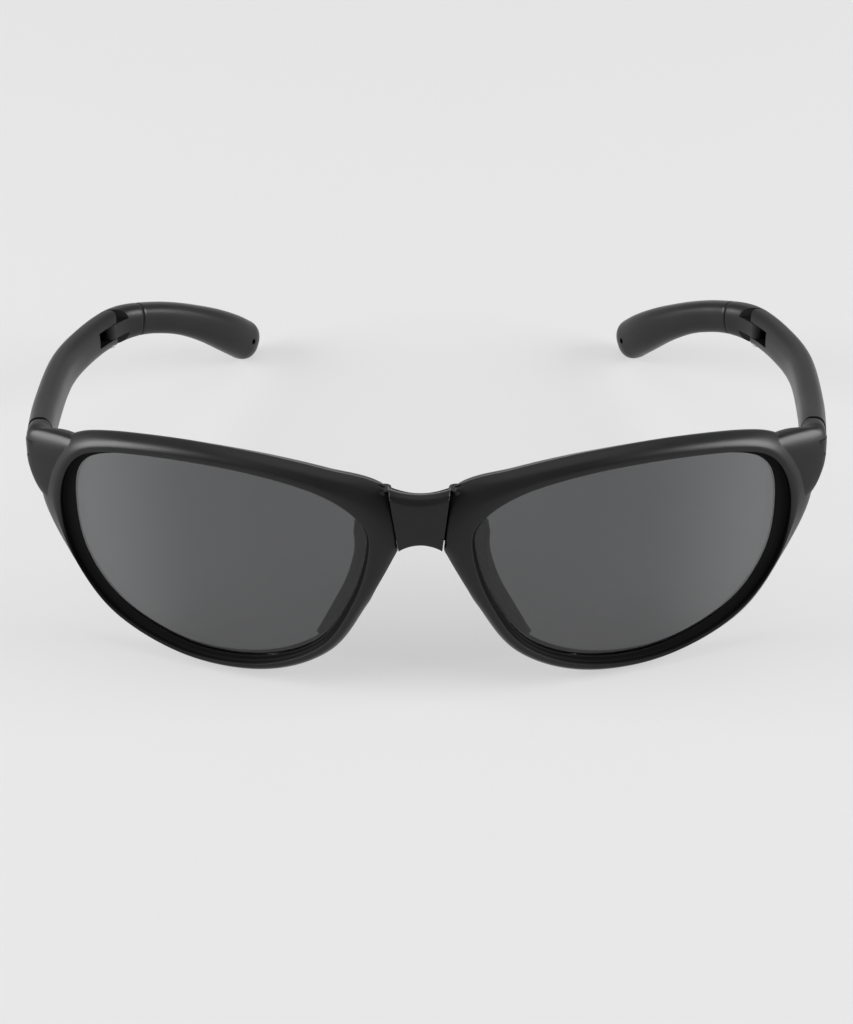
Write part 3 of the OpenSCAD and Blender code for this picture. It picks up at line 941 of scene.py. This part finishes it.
    def build_lenses(self) -> None:
        """Builds the lenses: their outline shrunk to its middle, on the front and the back sphere."""
        f = self.sizes
        corners = len(f.marks())
        u = np.arange(corners * 16) / 16
        edge = f.lip(u)[:, :2] + f.outward(u) * (f.groove - f.gap)
        middle = edge.mean(0)
        share = np.sin(np.linspace(0.04, 1, 26) * math.pi / 2)
        flat = middle + share[:, None, None] * (edge - middle)
        shells = []
        for behind, order in ((f.recess, 1), (f.recess + f.lens_t, -1)):
            x, z = flat[..., 0], flat[..., 1]
            shells.append(np.stack([x, f.depth(x, z, behind), z], -1)[::order])
        rows = np.concatenate(shells)
        lens = loft("tinted_lens", moved(rows, self.lean()))
        smooth(lens, 50)
        hand_in_pair(lens, self.stance, self.finishes.lens, Role("front", "lens_plastic", "lens"))

    def build_pads(self) -> None:
        """Builds the soft pads behind the nose side of the rim, with a row of shallow dimples.

        Its sections are rounded bars across a path whose front lies on the rim's rear face, and
        each dimple sinks the rear face by a bell-shaped amount about its middle.
        """
        f = self.sizes
        marks = np.array([
            [11.4, 12.5, 0.3], [10.9, 9.5, 0.45], [10.3, 6, 0.9], [10.4, 2, 1], [11.8, -3.5, 1],
            [14, -8.5, 0.85], [16.9, -13, 0.6], [19.3, -16, 0.35], [21.5, -18, 0.3]])
        u = np.linspace(1, 7, 150)
        p, q = along_path(marks, u), along_path(marks, u + STEP)
        d = unit((q - p)[:, :2])
        size = p[:, 2:3]
        length = np.concatenate([[0], np.cumsum(np.linalg.norm(np.diff(p[:, :2], axis=0), axis=1))])
        pitch = length[-1] / self.dimples
        beat = np.maximum(0, np.cos((length / pitch - 0.5) * 2 * math.pi))
        wave = beat[:, None] ** 2 * (size > 0.5)
        a = (np.arange(64) + 0.5) * 2 * math.pi / 64
        back, wide = (rounded(wave_of(a), 2 / self.pad_square) for wave_of in (np.cos, np.sin))
        w = self.pad_w / 2 * np.minimum(1, size + 0.2) * wide
        x, z = p[:, :1] + d[:, 1:] * w, p[:, 1:2] - d[:, :1] * w
        middle = f.depth(p[:, :1], p[:, 1:2], f.rim_t)
        dimple = self.dimple_depth * wave * np.exp(-(1.9 * wide) ** 2) * (back > 0)
        y = middle + self.pad_t / 2 * (size - 0.1 + size * back) - dimple
        y = np.maximum(f.depth(x, z, f.rim_t) + 0.03, y)
        rows = np.stack([x, y, z], -1)
        pad = loft("soft_pad", moved(rows, self.lean()))
        smooth(pad, 60)
        hand_in_pair(pad, self.stance, self.finishes.pad, Role("front", "pad_rubber", "nose_pad"))

    def build_bridge(self) -> None:
        """Builds the bridge: a rounded section carried across, dipped on top and arched below."""
        f, b, t = self.sizes, self.bridge, self.temple
        wide = b.top_half + 1
        inner, outer = np.linspace(-3.4, 3.4, 25), np.linspace(3.5, wide, 52)
        x = np.concatenate([-outer[::-1], inner, outer])
        k = x / b.top_half
        top = b.top_z - b.dip * (1 - k**2)
        low = b.bottom_z + b.arch * (1 - np.minimum(1, (x / b.bottom_half) ** 2))
        table = np.stack([np.column_stack([np.full(len(x), depth), height]) for depth, height in (
            (0.05, low + 1.3), (0.35, low + 0.45), (1.2, low), (f.rim_t - 0.8, low),
            (f.rim_t, low + 0.8), (f.rim_t, top - 2.6), (f.rim_t - 0.7, top - 1.75),
            (1.9, top - 0.1), (0.8, top - 0.35), (0.25, top - 1.2), (0.05, top - 2.6))])
        curve = round_ring(table, np.arange(len(table) * 8) / 8).swapaxes(0, 1)
        xs = np.broadcast_to(x[:, None], curve.shape[:2])
        rows = np.stack([xs, f.depth(xs, 0 * xs, curve[..., 0]), curve[..., 1]], -1)
        flip = np.array([-1.0, 1.0, 1.0])
        rows = self.trim(rows, -b.seam / 2, -1)
        rows = self.trim(rows * flip, -b.seam / 2, -1) * flip
        piece = loft("bridge_shell", moved(rows, self.lean()))
        half = b.knuckle_h / 2 - t.side_gap
        mirror = np.diag([-1.0, 1.0, 1.0, 1.0])
        for place in (b.pin_frame(f), mirror @ b.pin_frame(f) @ mirror):
            carve(piece, place,
                  add(bore(b.knuckle_r, -half + 0.003, half - 0.003)),
                  cut(*layers(disc(b.knuckle_r + t.move_gap), half, THROUGH)),
                  cut(bore(b.pin_r + TURNING_GAP)))
        smooth(piece)
        hand_in(piece, self.stance, self.finishes.frame, Role("bridge", "frame_plastic", "bridge"))


@dataclass
class Temples:
    """The temples: front halves, fold links and tips, built on the right and mirrored."""

    stance: Stance
    finishes: Finishes
    sizes: TempleSizes = field(default_factory=TempleSizes)
    around: int = 72

    def rows(self, u: Array, shrink: Array) -> Array:
        """Sections of the temple at places u, each smaller all round by shrink."""
        s = self.sizes
        return bar_rows(s.middle(u), s.heading(u), s.thickness(u) - shrink, s.height(u) - shrink,
                        s.squareness(u), self.around)

    def build_fronts(self) -> None:
        """Builds the front halves: a long bar, its hinge knuckle and the fork of the fold."""
        s = self.sizes
        u = np.linspace(0.97, s.fold_u + 0.27, 150)
        piece = loft("temple_bar", self.rows(u, np.zeros_like(u)))
        half, reach = s.knuckle / 2, s.thick / 2 + s.move_gap
        clear = np.concatenate([[[WIDE, -WIDE], [WIDE, reach]], arc(reach, 90, 180 - s.fold),
                                [[-WIDE, -s.swing_edge(reach)], [-WIDE, -WIDE]]])
        carve(piece, s.hinge_frame(),
              cut(*layers(clear, half, THROUGH)),
              add(bore(s.thick / 2, 0.002 - half, half - 0.002)),
              cut(bore(s.pin_r + TURNING_GAP)))
        slot, wall = s.fold_knuckle / 2 + s.side_gap, s.fold_t - s.fold_in - s.slot_wall
        beyond = np.concatenate([arc(s.fold_in, 0, 180, 40),
                                 [[-WIDE, 0], [-WIDE, WIDE], [WIDE, WIDE], [WIDE, 0]]])
        carve(piece, s.fold_frame(),
              cut(Block(beyond, -THROUGH, THROUGH)),
              cut(Block(box(-THROUGH, -s.slot, wall, WIDE + 0.5), -slot, slot)),
              cut(bore(s.fold_pin_r + FIXED_GAP, -THROUGH, s.fold_h / 2 - 1)),
              cut(bore(s.head_r - 0.23, -THROUGH, s.head_h - s.fold_h / 2)))
        smooth(piece)
        role = Role("temple", "frame_plastic", "temple_front")
        hand_in_pair(piece, self.stance, self.finishes.frame, role)

    def build_links(self) -> None:
        """Builds the fold links: a short bar with a round tongue, scooped to clear the fork."""
        s = self.sizes
        u = np.linspace(s.fold_u - 0.13, s.seam_u - 0.05, 60)
        u = np.concatenate([u, [s.seam_u - 0.02, s.seam_u]])
        piece = loft("link", self.rows(u, np.concatenate([np.zeros(60), [0.12, 0.35]])))
        half, reach = s.fold_knuckle / 2, s.fold_in + s.move_gap
        start = math.degrees(math.asin(-1 / reach))
        fold = math.radians(s.rear_fold)
        top = reach * np.array([-math.cos(fold), math.sin(fold)])
        top += 14 * np.array([-math.sin(fold), -math.cos(fold)])
        clear = np.concatenate([[[-WIDE, -WIDE], [WIDE, -WIDE], [WIDE, -1]],
                                arc(reach, start, 180 - s.rear_fold), [top, [-WIDE, top[1]]]])
        wider = WIDE + 0.5
        carve(piece, s.fold_frame(),
              cut(Block(box(-wider, -wider, wider, s.move_gap), -THROUGH, THROUGH)),
              cut(*layers(clear, half, THROUGH)),
              add(bore(s.fold_in, 0.002 - half, half - 0.002)),
              cut(bore(s.fold_pin_r + TURNING_GAP)))
        smooth(piece)
        role = Role("temple_rear", "frame_plastic", "fold_link")
        hand_in_pair(piece, self.stance, self.finishes.frame, role)

    def build_tips(self) -> None:
        """Builds the tips: a swelling bar that ends in a rounded bulb, with its cord hole."""
        s = self.sizes
        seam = [s.seam_u, s.seam_u + 0.015]
        u = np.concatenate([seam, np.linspace(s.seam_u + 0.05, s.last_u, 110)])
        rows = self.rows(u, np.concatenate([[0.35, 0.12], np.zeros(110)]))
        a = np.radians(np.linspace(2, 89, 40))
        last = np.array([s.last_u])
        way = s.heading(last)
        at = s.middle(last) + way * (s.tip_t * 0.75 * np.sin(a))[:, None]
        end = bar_rows(at, np.repeat(way, len(a), 0), s.thickness(last) * np.cos(a),
                       s.height(last) * np.cos(a), np.full(len(a), s.end_square), self.around)
        piece = loft("tip", np.concatenate([rows, end]))
        angle = math.degrees(math.atan2(-way[0, 0], way[0, 1]))
        hole = shift(*s.middle(last)[0]) @ turn("z", angle) @ turn("y", 90)
        carve(piece, hole, cut(Block(disc(s.cord_r, 40), -15, 15)))
        smooth(piece)
        role = Role("temple_rear", "frame_plastic", "temple_tip")
        hand_in_pair(piece, self.stance, self.finishes.frame, role)


# Studio


@dataclass(frozen=True)
class Lamp:
    """A square soft lamp that looks at the object, with its place and size in metres."""

    name: str
    at: Point
    size: float
    watts: float

    def build(self) -> None:
        """Makes the lamp and turns it to the object's middle."""
        data = bpy.data.lights.new(self.name, "AREA")
        data.shape, data.size, data.energy = "SQUARE", self.size, self.watts
        lamp = new_object(self.name, data)
        lamp.location = self.at
        x, y, z = np.array([0.0, 0.0, 0.02]) - np.array(self.at)
        lamp.rotation_euler = (math.atan2(math.hypot(x, y), -z), 0.0, math.atan2(-x, y))


@dataclass(frozen=True)
class Studio:
    """Pale floor and backdrop, soft lamps and the photograph's camera.

    The floor's sizes are in metres; the camera's place is in millimetres in the wearer's frame.
    """

    stance: Stance
    pale: float = 0.70
    glow: float = 0.75
    glow_share: float = 0.7
    sky: float = 0.22
    floor_half: float = 3.0
    bend_at: float = 1.0
    bend_r: float = 0.8
    wall_top: float = 3.5
    floor_drop: float = 0.0002
    distance: float = 500.0
    elevation: float = 25.0
    camera_x: float = 18.0
    target: Point = (1.2, 0.0, 14.5)
    focal: float = 96.5
    lamps: tuple[Lamp, ...] = (
        Lamp("top_lamp", (0.0, 0.1, 1.1), 0.9, 2.5),
        Lamp("left_lamp", (-0.95, -0.14, 0.45), 0.6, 13.5),
        Lamp("right_lamp", (0.95, -0.14, 0.45), 0.6, 13.5),
    )

    def floor(self) -> None:
        """A floor that curves up into a backdrop: flat, then a quarter circle, then upright."""
        a = np.linspace(0, math.pi / 2, 24)[1:]
        wall = self.bend_at + self.bend_r
        bend_y, bend_z = self.bend_at + self.bend_r * np.sin(a), self.bend_r * (1 - np.cos(a))
        y = np.concatenate([[-self.floor_half, self.bend_at], bend_y, [wall]])
        z = np.concatenate([[0.0, 0.0], bend_z, [self.wall_top]]) - self.floor_drop
        x = np.array([-self.floor_half, self.floor_half])
        points = np.stack([np.tile(x, len(y)), np.repeat(y, 2), np.repeat(z, 2)], -1)
        i = 2 * np.arange(len(y) - 1)
        mesh = bpy.data.meshes.new("floor")
        mesh.from_pydata(points.tolist(), [], np.column_stack([i, i + 1, i + 3, i + 2]).tolist())
        mesh.shade_smooth()
        floor = new_object("floor", mesh)
        mesh.materials.append(self.floor_material())

    def floor_material(self) -> Material:
        """Plain pale matte floor, part of whose paleness is a glow that only looks see.

        The camera, reflections and what is seen through the lenses get that glow; it sheds no
        light on the object, and the rest of the floor keeps the object's shadow.
        """
        surface = Surface("pale_floor", marks=3.0)
        surface.tint((self.pale,) * 3, (self.pale * 1.01,) * 3)
        surface.shade({"Roughness": 0.9, "Specular IOR Level": 0.0})
        rays = surface.node("ShaderNodeLightPath", {}).outputs
        seen = surface.maths("MAXIMUM", rays["Is Camera Ray"], rays["Is Glossy Ray"])
        seen = surface.maths("MAXIMUM", seen, rays["Is Transmission Ray"])
        share = surface.maths("MULTIPLY", seen, self.glow_share)
        glow = surface.node("ShaderNodeEmission", {"Color": (1, 1, 1, 1), "Strength": self.glow})
        both = surface.node("ShaderNodeMixShader", {
            0: share, 1: surface.shader.outputs[0], 2: glow.outputs[0]})
        wire(surface.tree, surface.tree.nodes["Material Output"], {"Surface": both.outputs[0]})
        return surface.material

    def world(self) -> None:
        """An even pale sky that fills the shadows."""
        world = bpy.data.worlds.new("studio")
        world.use_nodes = True
        sky = world.node_tree
        wire(sky, sky.nodes["Background"], {"Color": (1, 1, 1, 1), "Strength": self.sky})
        bpy.context.scene.world = world

    def camera(self) -> None:
        """The photograph's camera, worked out in the wearer's frame and held level."""
        e = math.radians(self.elevation)
        target = np.array(self.target)
        ahead, above = self.distance * math.cos(e), self.distance * math.sin(e)
        eye = np.array([self.camera_x, -ahead, target[2] + above])
        eye_w, target_w = self.stance.world(np.array([eye, target]))
        back = unit(eye_w - target_w)
        right = unit(np.array([1.0, 0.0, 0.0]) - back[0] * back)
        m = np.eye(4)
        m[:3, 0], m[:3, 1], m[:3, 2], m[:3, 3] = right, np.cross(back, right), back, eye_w
        data = bpy.data.cameras.new("camera")
        data.sensor_fit, data.sensor_height, data.lens = "VERTICAL", 36.0, self.focal
        data.clip_start, data.clip_end = 0.01, 20.0
        camera = new_object("camera", data)
        camera.matrix_world = m.T.tolist()
        bpy.context.scene.camera = camera

    def build(self) -> None:
        """Builds the whole studio."""
        self.floor()
        self.world()
        for lamp in self.lamps:
            lamp.build()
        self.camera()
        bpy.context.scene.view_settings.view_transform = "Standard"


def main() -> None:
    """Builds the sub-assemblies in order and reports each piece."""
    logging.basicConfig(level=logging.INFO, format="%(message)s")
    temple = TempleSizes()
    stance = Stance.from_frame(frame["joints"], temple)
    finishes = Finishes()
    front = Front(stance, finishes, temple=temple)
    front.build_bridge()
    front.build_rims()
    front.build_lenses()
    front.build_pads()
    temples = Temples(stance, finishes, temple)
    temples.build_fronts()
    temples.build_links()
    temples.build_tips()
    for name, pin in frame["nodes"].items():
        if "pin" in name or "screw" in name:
            pin.data.materials.clear()
            pin.data.materials.append(finishes.steel)
    Studio(stance).build()


if __name__ == "__main__":
    main()
